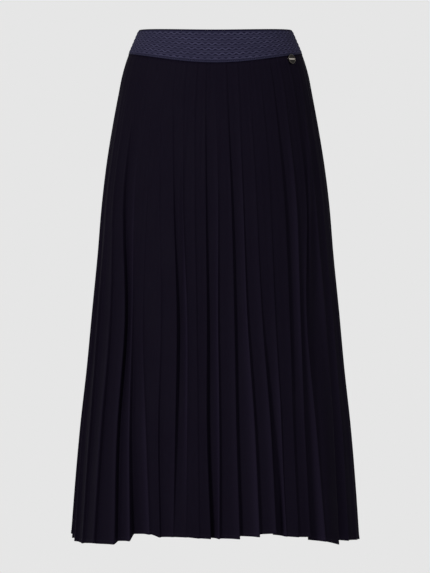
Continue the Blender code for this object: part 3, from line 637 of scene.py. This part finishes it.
def band_relief(down, wave):
    """The knit at one height, for each column's place in its zigzag wave: how far it stands out, as a share of a bold
    rib's height, how light it is, with a painted highlight on each bold rib and painted shade in its dimples, and how
    much of the zigzag's swing it has."""
    plain = np.ones(len(wave))
    if down < TURNED_EDGE:
        return plain * 0.0, plain * TURNED_EDGE_TONE, 0.0
    if down > ZIGZAG_BOTTOM:
        part = (down - ZIGZAG_BOTTOM) / (1 - ZIGZAG_BOTTOM)
        rib = 0.5 + 0.5 * math.cos(3 * math.pi * part)
        # The border is lighter on its ribs and darker between them: a painted highlight and painted shade.
        return plain * rib * BORDER_RIB_HEIGHT / RIB_HEIGHT, plain * rib * BORDER_RIB_HIGHLIGHT_TONE, 0.0
    row = (down - TURNED_EDGE) / ZIGZAG_ROW
    rows = (ZIGZAG_BOTTOM - TURNED_EDGE) / ZIGZAG_ROW
    crest = 0.5 - 0.5 * math.cos(2 * math.pi * row)
    fine = FINE_RIB * (0.5 - 0.5 * math.cos(4 * math.pi * row))
    fade = min(1.0, row / FADES_IN, (rows - row) / FADES_OUT)
    under_crest = 0.5 + 0.5 * np.cos(wave) * (1 if row % 1 > 0.5 else -1)
    dash = (0.5 - 0.5 * math.cos(4 * math.pi * row)) ** 2 * under_crest**2
    fine_patch = np.sin(wave * PATCHES / ZIGZAG_WAVES + PATCH_LEAN * row)
    broad_patch = np.sin(wave * BROAD_PATCHES / ZIGZAG_WAVES + BROAD_PATCH_LEAN * row)
    patch = 1 + PATCHINESS * fine_patch + PATCHINESS * broad_patch
    # The light line on the bold rib's crest is a painted highlight, and the dark dashes in the dimples are painted
    # shade.
    lines = RIB_HIGHLIGHT_TONE * crest**LINE_SHARPNESS + FINE_LINE_TONE * (1 - crest) ** LINE_SHARPNESS
    tone = GROUND_TONE + fade * patch * (lines - DIMPLE_SHADE_TONE * dash)
    return crest**RIB_SHARPNESS + fine - DIMPLE * dash * fade, tone, fade


def make_waistband():
    """The waistband as one closed shell: up its inside, over its rim, down its outside and round its lower edge."""
    columns = ZIGZAG_WAVES * COLUMNS_IN_WAVE + 1
    shares = np.linspace(-1.0, 1.0, columns)
    wave = math.pi * ZIGZAG_WAVES * (shares + 1)
    profile = [(down, "inside") for down in (INSIDE_END, *INSIDE_ROWS, RIM_END)]
    profile += [(turn, "rim") for turn in RIM_TURNS]
    profile += [(down, "outside") for down in TURNED_EDGE_ROWS]
    profile += [(down, "outside") for down in np.linspace(TURNED_EDGE, ZIGZAG_BOTTOM, KNIT_ROWS, endpoint=False)]
    profile += [(down, "outside") for down in np.linspace(ZIGZAG_BOTTOM, BORDER_END, BORDER_ROWS)]
    profile += [(1.0, "edge"), (INSIDE_END, "inside")]
    points = []
    tones = []
    around = []
    run = 0.0
    for down, side in profile:
        tone = np.full(columns, GROUND_TONE)
        swing = 0.0
        if side == "inside":
            proud = BAND_PROUD - BAND_WALL
        elif side == "edge":
            proud = BAND_PROUD - BAND_WALL / 2
        elif side == "rim":
            angle = math.pi * (1 - down)
            proud = BAND_PROUD - BAND_WALL / 2 + BAND_WALL / 2 * math.cos(angle)
            down = RIM_END * (1 - math.sin(angle))
            tone = np.full(columns, TURNED_EDGE_TONE)
        else:
            relief, tone, fade = band_relief(down, wave)
            swing = ZIGZAG_SWING * fade * np.cos(wave)
            proud = BAND_PROUD + RIB_HEIGHT * relief
        row = band_point(shares, down, proud, swing)
        if points:
            run += float(np.linalg.norm(row[columns // 2] - points[-1][columns // 2]))
        points.append(row)
        tones.append(tone)
        around.append(np.column_stack([shares * Outline(0).half, np.full(columns, -run)]))
    band = cloth_grid("waistband_knit", np.array(points), np.array(around), closed=True)
    set_values(band, "tone", tones)
    return band


def knit_loops():
    """Fine weft knit in the plane: columns of small loops 1.2 mm apart, in rows 0.9 mm apart. It puts out a height and
    a tone from 0 to 1."""
    group, given, result = effect_group("knit_loops", ("Height", "Tone"))
    turned = add_node(group, "ShaderNodeMapping", {"Vector": given, "Rotation": (0.0, 0.0, math.radians(90))})
    uneven = {"Detail": 1.0, "Detail Scale": 2.0}
    column = {"Vector": given, "Scale": 262.0, "Distortion": 0.6, **uneven}
    row = {"Vector": turned.outputs["Vector"], "Scale": 349.0, "Distortion": 0.9, **uneven}
    wales, courses = (add_node(group, "ShaderNodeTexWave", bands).outputs["Fac"] for bands in (column, row))
    loops = add_node(group, "ShaderNodeMath", {0: wales, 1: courses}, operation="MULTIPLY").outputs["Value"]
    fuzz = add_node(group, "ShaderNodeTexNoise", {"Vector": given, "Scale": 2600.0, "Detail": 2.0})
    fill(group, result, {"Height": loops, "Tone": blend(group, 0.45, loops, fuzz.outputs["Fac"])})
    return group


KNIT_DARK = (0.0015, 0.0013, 0.0060)
KNIT_LIGHT = (0.0200, 0.0188, 0.0360)
KNIT_LOOP_HEIGHT = 0.15 * MM
# The share of the knit's tone that comes from its fine loops. The zigzags' tone, with its painted highlights and
# painted shade, gives the rest.
LOOPS_SHARE = 0.2

elastic, tree, shader = new_material("elastic_knit", KNIT_LIGHT, 0.8, specular=0.03)
flat = add_node(tree, "ShaderNodeUVMap", uv_map="flat").outputs["UV"]
loops = add_node(tree, "ShaderNodeGroup", {"Vector": flat}, node_tree=knit_loops())
# The band's tone holds its yarn tones together with the painted highlight on the ribs and painted shade in the dimples.
knit_tone_and_shading = add_node(tree, "ShaderNodeAttribute", attribute_name="tone").outputs["Fac"]
mixed = blend(tree, LOOPS_SHARE, knit_tone_and_shading, loops.outputs["Tone"])
finish = {
    "Base Color": tint(tree, mixed, KNIT_DARK, KNIT_LIGHT),
    "Normal": bumped(tree, loops.outputs["Height"], 0.7, KNIT_LOOP_HEIGHT),
}
fill(tree, shader, finish)

waistband = make_waistband()
waistband.data.materials.append(elastic)
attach(waistband, "root")
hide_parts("waistband")

# The sewing, in matching navy thread: a row of short stitches round the waistband's border, a blind row round the
# narrow hem, and the stitches that close the two side seams.

# The waistband's row lies at this share of its height.
BAND_STITCH_DOWN = 0.955
BAND_LINE_POINTS = 721
STITCHES_AT_ONCE = 40
# How far apart the stitches of each kind are, their length and width, and how far their middles stand off the cloth.
StitchSize = namedtuple("StitchSize", "spacing length width stand_off")
BAND_STITCH = StitchSize(spacing=3.0 * MM, length=2.1 * MM, width=0.4 * MM, stand_off=0.15 * MM)
HEM_STITCH = StitchSize(spacing=4.0 * MM, length=1.2 * MM, width=0.3 * MM, stand_off=0.5 * MM)
SIDE_STITCH = StitchSize(spacing=3.2 * MM, length=0.9 * MM, width=0.3 * MM, stand_off=0.2 * MM)


def stitch_row(line, size, turned=False):
    """Stitches along a line of points round the tube: small oval bodies, half sunk in the cloth. Each is a middle, the
    way it runs, the way out of the cloth and its size. Those of a side seam are turned, to run down it."""
    steps = np.linalg.norm(np.diff(line, axis=0), axis=1)
    along = np.concatenate([[0.0], np.cumsum(steps)])
    made = []
    for where in np.arange(size.spacing / 2, along[-1], size.spacing):
        here, ahead, behind = (
            Vector([np.interp(at, along, line[:, axis]) for axis in range(3)])
            for at in (where, where + size.length / 2, where - size.length / 2)
        )
        run = (ahead - behind).normalized()
        out = run.cross(Vector((0.0, 0.0, 1.0))).normalized()
        if turned:
            run = Vector((0.0, 0.0, 1.0))
            out = Vector((here.x, here.y, 0.0)).normalized()
        made.append((here + out * size.stand_off, run, out, size))
    return made


def make_stitches(name, stitches, finish):
    """All the stitches of one kind as one piece, made a batch at a time because a small mesh grows faster."""
    mesh = bmesh.new()
    for first in range(0, len(stitches), STITCHES_AT_ONCE):
        batch = bmesh.new()
        for middle, run, out, size in stitches[first : first + STITCHES_AT_ONCE]:
            across = out.cross(run).normalized()
            out = run.cross(across)
            turn = Matrix((run * size.length, across * size.width, out * size.width)).transposed().to_4x4()
            place = Matrix.Translation(middle) @ turn
            bmesh.ops.create_uvsphere(batch, u_segments=6, v_segments=5, radius=0.5, matrix=place)
        some = bpy.data.meshes.new("some_stitches")
        batch.to_mesh(some)
        batch.free()
        mesh.from_mesh(some)
        bpy.data.meshes.remove(some)
    for face in mesh.faces:
        face.smooth = True
    bmesh.ops.recalc_face_normals(mesh, faces=mesh.faces)
    data = bpy.data.meshes.new(name)
    mesh.to_mesh(data)
    mesh.free()
    data.materials.append(finish)
    piece = bpy.data.objects.new(name, data)
    bpy.context.scene.collection.objects.link(piece)
    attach(piece, "root")
    return piece


def thread_twist():
    """Two-ply thread: slanting strands 0.25 mm apart. It puts out a height and a tone from 0 to 1."""
    group, given, result = effect_group("thread_twist", ("Height", "Tone"))
    slant = add_node(group, "ShaderNodeMapping", {"Vector": given, "Rotation": (0.4, 0.5, math.radians(35))})
    bands = {"Vector": slant.outputs["Vector"], "Scale": 1250.0, "Distortion": 0.4}
    strands = add_node(group, "ShaderNodeTexWave", bands).outputs["Fac"]
    fill(group, result, {"Height": strands, "Tone": strands})
    return group


def thread_material(name, dark, light, twist):
    """A matt thread, dark between its strands and light on them."""
    made, tree, shader = new_material(name, light, 0.6, specular=0.2)
    given = add_node(tree, "ShaderNodeTexCoord").outputs["Object"]
    strands = add_node(tree, "ShaderNodeGroup", {"Vector": given}, node_tree=twist)
    normal = bumped(tree, strands.outputs["Height"], 0.6, STRAND_HEIGHT)
    fill(tree, shader, {"Base Color": tint(tree, strands.outputs["Tone"], dark, light), "Normal": normal})
    return made


CLOTH_THREAD_DARK = (0.0035, 0.0028, 0.0060)
CLOTH_THREAD_LIGHT = (0.0080, 0.0066, 0.0130)
BAND_THREAD_DARK = (0.0120, 0.0118, 0.0230)
BAND_THREAD_LIGHT = (0.0260, 0.0250, 0.0460)
STRAND_HEIGHT = 0.05 * MM

twist = thread_twist()
cloth_thread = thread_material("cloth_thread", CLOTH_THREAD_DARK, CLOTH_THREAD_LIGHT, twist)
band_thread = thread_material("band_thread", BAND_THREAD_DARK, BAND_THREAD_LIGHT, twist)

band_line = band_point(np.linspace(-1.0, 1.0, BAND_LINE_POINTS), BAND_STITCH_DOWN, BAND_PROUD)
make_stitches("waistband_stitches", stitch_row(band_line, BAND_STITCH), band_thread)
hem_row = HEM_ROWS.index(HEM_SEWN) - len(HEM_ROWS)
hem_stitches = []
side_stitches = []
for points in (front_points, back_points):
    hem_stitches += stitch_row(points[hem_row], HEM_STITCH)
    side_stitches += stitch_row(points[:, -1], SIDE_STITCH, turned=True)
make_stitches("hem_stitches", hem_stitches, cloth_thread)
make_stitches("side_seam_stitches", side_stitches, cloth_thread)

# The small round plate: a stamped dark metal disc with a raised rim and a plain field, with a painted reflection as a
# bright strip across it and a painted highlight on its rim. It lies flat over the waistband's seam to the right of the
# front, riveted through the crepe by a post at its back.

# Its middle below the rim and from the centre front, how far it stands off the waistband, and its turn to the right.
PLATE_BELOW = 4.30 * CM
PLATE_FROM_CENTRE = 12.65 * CM
PLATE_STAND_OFF = 0.9 * MM
PLATE_TURN = math.radians(8)
PLATE_SIDES = 64
# Its profile from the end of the post, round the rim, to the middle of the front, in millimetres.
PLATE_PROFILE = (
    (0.0, -2.00),
    (1.1, -2.00),
    (1.1, 0.10),
    (6.9, 0.10),
    (7.35, 0.20),
    (7.50, 0.50),
    (7.48, 0.90),
    (7.30, 1.28),
    (7.00, 1.46),
    (6.70, 1.44),
    (6.45, 1.28),
    (6.30, 1.02),
    (5.90, 0.98),
    (3.4, 1.06),
    (0.0, 1.10),
)

mesh = bmesh.new()
verts = [mesh.verts.new((radius * MM, 0.0, height * MM)) for radius, height in PLATE_PROFILE]
edges = [mesh.edges.new(pair) for pair in zip(verts, verts[1:])]
bmesh.ops.spin(
    mesh,
    geom=verts + edges,
    cent=(0, 0, 0),
    axis=(0, 0, 1),
    angle=2 * math.pi,
    steps=PLATE_SIDES,
    use_merge=True,
)
bmesh.ops.remove_doubles(mesh, verts=mesh.verts, dist=2 * SAME_POINT)
bmesh.ops.recalc_face_normals(mesh, faces=mesh.faces)

# It is laid on the plane through its own place and two more near it, above it and beside it.
ABOVE_DOWN = 0.7
BESIDE_SHARE = 0.01
plate_share = PLATE_FROM_CENTRE / Outline(PLATE_BELOW / CM).half
plate_down = PLATE_BELOW / BAND_AT_SIDES
spots = ((plate_share, plate_down), (plate_share, ABOVE_DOWN), (plate_share + BESIDE_SHARE, plate_down))
here, above, beside = (Vector(band_point(np.array([share]), down, BAND_PROUD)[0]) for share, down in spots)
out = (here - above).cross(beside - here).normalized()
up = (above - here).normalized()
across = up.cross(out).normalized()
turn = Matrix((across, out.cross(across), out)).transposed().to_4x4()
plate_place = Matrix.Translation(here + out * PLATE_STAND_OFF) @ turn @ Matrix.Rotation(-PLATE_TURN, 4, "Z")
bmesh.ops.transform(mesh, matrix=plate_place, verts=mesh.verts)
for face in mesh.faces:
    face.smooth = True
data = bpy.data.meshes.new("round_plate")
mesh.to_mesh(data)
mesh.free()
plate = bpy.data.objects.new("round_plate", data)
bpy.context.scene.collection.objects.link(plate)


# Half the height of the painted reflection strip, how far out it reaches, and where the painted highlight on the rim
# starts, all from the plate's middle. Each is none at its first number and full at its second.
STRIP_EDGE = (1.3 * MM, 0.9 * MM)
STRIP_END = (6.2 * MM, 5.6 * MM)
RIM_START = (6.4 * MM, 6.7 * MM)


def painted_reflection_parts():
    """Where light is painted on the plate: the strip of painted reflection across it, and the painted highlight on its
    raised rim. Both are from 0 to 1.
    """
    group, given, result = effect_group("painted_reflection_parts", ("Strip", "Rim"))
    level_part = add_node(group, "ShaderNodeMapping", {"Vector": given, "Scale": (1.0, 1.0, 0.0)}).outputs["Vector"]
    radius = add_node(group, "ShaderNodeVectorMath", {0: level_part}, operation="LENGTH").outputs["Value"]
    across = add_node(group, "ShaderNodeSeparateXYZ", {"Vector": given}).outputs["Y"]
    off_middle = add_node(group, "ShaderNodeMath", {0: across}, operation="ABSOLUTE").outputs["Value"]
    strip, within, rim = (
        add_node(group, "ShaderNodeMapRange", {"Value": value, "From Min": none, "From Max": full}).outputs["Result"]
        for value, none, full in ((off_middle, *STRIP_EDGE), (radius, *STRIP_END), (radius, *RIM_START))
    )
    both = add_node(group, "ShaderNodeMath", {0: strip, 1: within}, operation="MULTIPLY").outputs["Value"]
    fill(group, result, {"Strip": both, "Rim": rim})
    return group


def brushed_scratches():
    """Fine polishing lines and wear. It puts out a height and a tone from 0 to 1."""
    group, given, result = effect_group("brushed_scratches", ("Height", "Tone"))
    stretch = add_node(group, "ShaderNodeMapping", {"Vector": given, "Scale": (0.12, 1.0, 1.0)}).outputs["Vector"]
    lines = add_node(group, "ShaderNodeTexNoise", {"Vector": stretch, "Scale": 3500.0, "Detail": 4.0})
    wear = add_node(group, "ShaderNodeTexNoise", {"Vector": given, "Scale": 420.0, "Detail": 3.0})
    fill(group, result, {"Height": lines.outputs["Fac"], "Tone": wear.outputs["Fac"]})
    return group


# The dark metal's own colour, a painted highlight for the rim, and a painted reflection for the strip across the
# middle.
PLATE_DARK = (0.016, 0.014, 0.012)
PLATE_RIM_HIGHLIGHT = (0.050, 0.045, 0.038)
PLATE_PAINTED_REFLECTION = (0.40, 0.37, 0.33)
PLATE_ROUGHNESS = (0.16, 0.42)
SCRATCH_DEPTH = 0.03 * MM

metal, tree, shader = new_material("plate_metal", PLATE_DARK, 0.25, metallic=1.0)
given = add_node(tree, "ShaderNodeTexCoord").outputs["Object"]
spot = {"Vector": given, "Location": plate_place.to_translation(), "Rotation": plate_place.to_euler()}
own = add_node(tree, "ShaderNodeMapping", spot, vector_type="TEXTURE").outputs["Vector"]
reflection_masks = add_node(tree, "ShaderNodeGroup", {"Vector": own}, node_tree=painted_reflection_parts())
scratches = add_node(tree, "ShaderNodeGroup", {"Vector": given}, node_tree=brushed_scratches())
rimmed = tint(tree, reflection_masks.outputs["Rim"], PLATE_DARK, PLATE_RIM_HIGHLIGHT)
least, most = PLATE_ROUGHNESS
rough = add_node(tree, "ShaderNodeMapRange", {"Value": scratches.outputs["Tone"], "To Min": least, "To Max": most})
finish = {
    "Base Color": tint(tree, reflection_masks.outputs["Strip"], rimmed, PLATE_PAINTED_REFLECTION),
    "Roughness": rough.outputs["Result"],
    "Normal": bumped(tree, scratches.outputs["Height"], 0.25, SCRATCH_DEPTH),
}
fill(tree, shader, finish)
plate.data.materials.append(metal)
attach(plate, "root")
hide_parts("metal_plate")

# The studio: a plain pale round floor under a plain pale surround, a broad soft light high in front on the left, a
# weaker one high on the right and a faint one beside the left. The camera stands seven metres in front, level with the
# middle of the skirt.

BACKGROUND = (0.7914, 0.7914, 0.7914)
FLOOR_COLOUR = (0.62, 0.62, 0.62)
FLOOR_BELOW = 1.0
FLOOR_RADIUS = 2.4
FLOOR_SIDES = 96
# Where each light is and what it points at, in metres, how wide it is, and its power in watts.
Light = namedtuple("Light", "name place aim size power")
LIGHTS = (
    Light("key", place=(-2.8, -3.8, 2.0), aim=(0.0, 0.0, -0.35), size=1.2, power=400.0),
    Light("fill", place=(3.0, -2.8, 2.0), aim=(0.0, 0.0, -0.10), size=1.2, power=150.0),
    Light("side", place=(-4.4, -0.4, 1.2), aim=(0.0, 0.0, -0.30), size=1.2, power=45.0),
)
# The picture is as high as this much at the skirt.
FRAME_HEIGHT = 0.88815
CAMERA_PLACE = (-0.0006, -7.0, -0.372)
SENSOR = 36.0

world = bpy.data.worlds.new("studio")
world.use_nodes = True
world.node_tree.nodes["Background"].inputs["Color"].default_value = (*BACKGROUND, 1.0)
world.node_tree.nodes["Background"].inputs["Strength"].default_value = 1.0
bpy.context.scene.world = world

mesh = bmesh.new()
floor_place = Matrix.Translation((0, 0, -FLOOR_BELOW))
bmesh.ops.create_circle(mesh, cap_ends=True, segments=FLOOR_SIDES, radius=FLOOR_RADIUS, matrix=floor_place)
data = bpy.data.meshes.new("floor")
mesh.to_mesh(data)
mesh.free()
floor = bpy.data.objects.new("floor", data)
bpy.context.scene.collection.objects.link(floor)
floor_finish, tree, shader = new_material("pale_floor", FLOOR_COLOUR, 0.9, specular=0.1)
floor.data.materials.append(floor_finish)

for light in LIGHTS:
    lamp = bpy.data.lights.new(light.name, "AREA")
    lamp.shape = "DISK"
    lamp.size = light.size
    lamp.energy = light.power
    made = bpy.data.objects.new(light.name, lamp)
    made.location = light.place
    made.rotation_euler = (Vector(light.aim) - Vector(light.place)).to_track_quat("-Z", "Y").to_euler()
    bpy.context.scene.collection.objects.link(made)

lens = bpy.data.cameras.new("camera")
lens.sensor_width = SENSOR
lens.lens = SENSOR * -CAMERA_PLACE[1] / FRAME_HEIGHT
lens.clip_start = 0.1
lens.clip_end = 100.0
camera = bpy.data.objects.new("camera", lens)
camera.location = CAMERA_PLACE
camera.rotation_euler = (math.radians(90), 0.0, 0.0)
bpy.context.scene.collection.objects.link(camera)
bpy.context.scene.camera = camera
bpy.context.scene.view_settings.view_transform = "Standard"
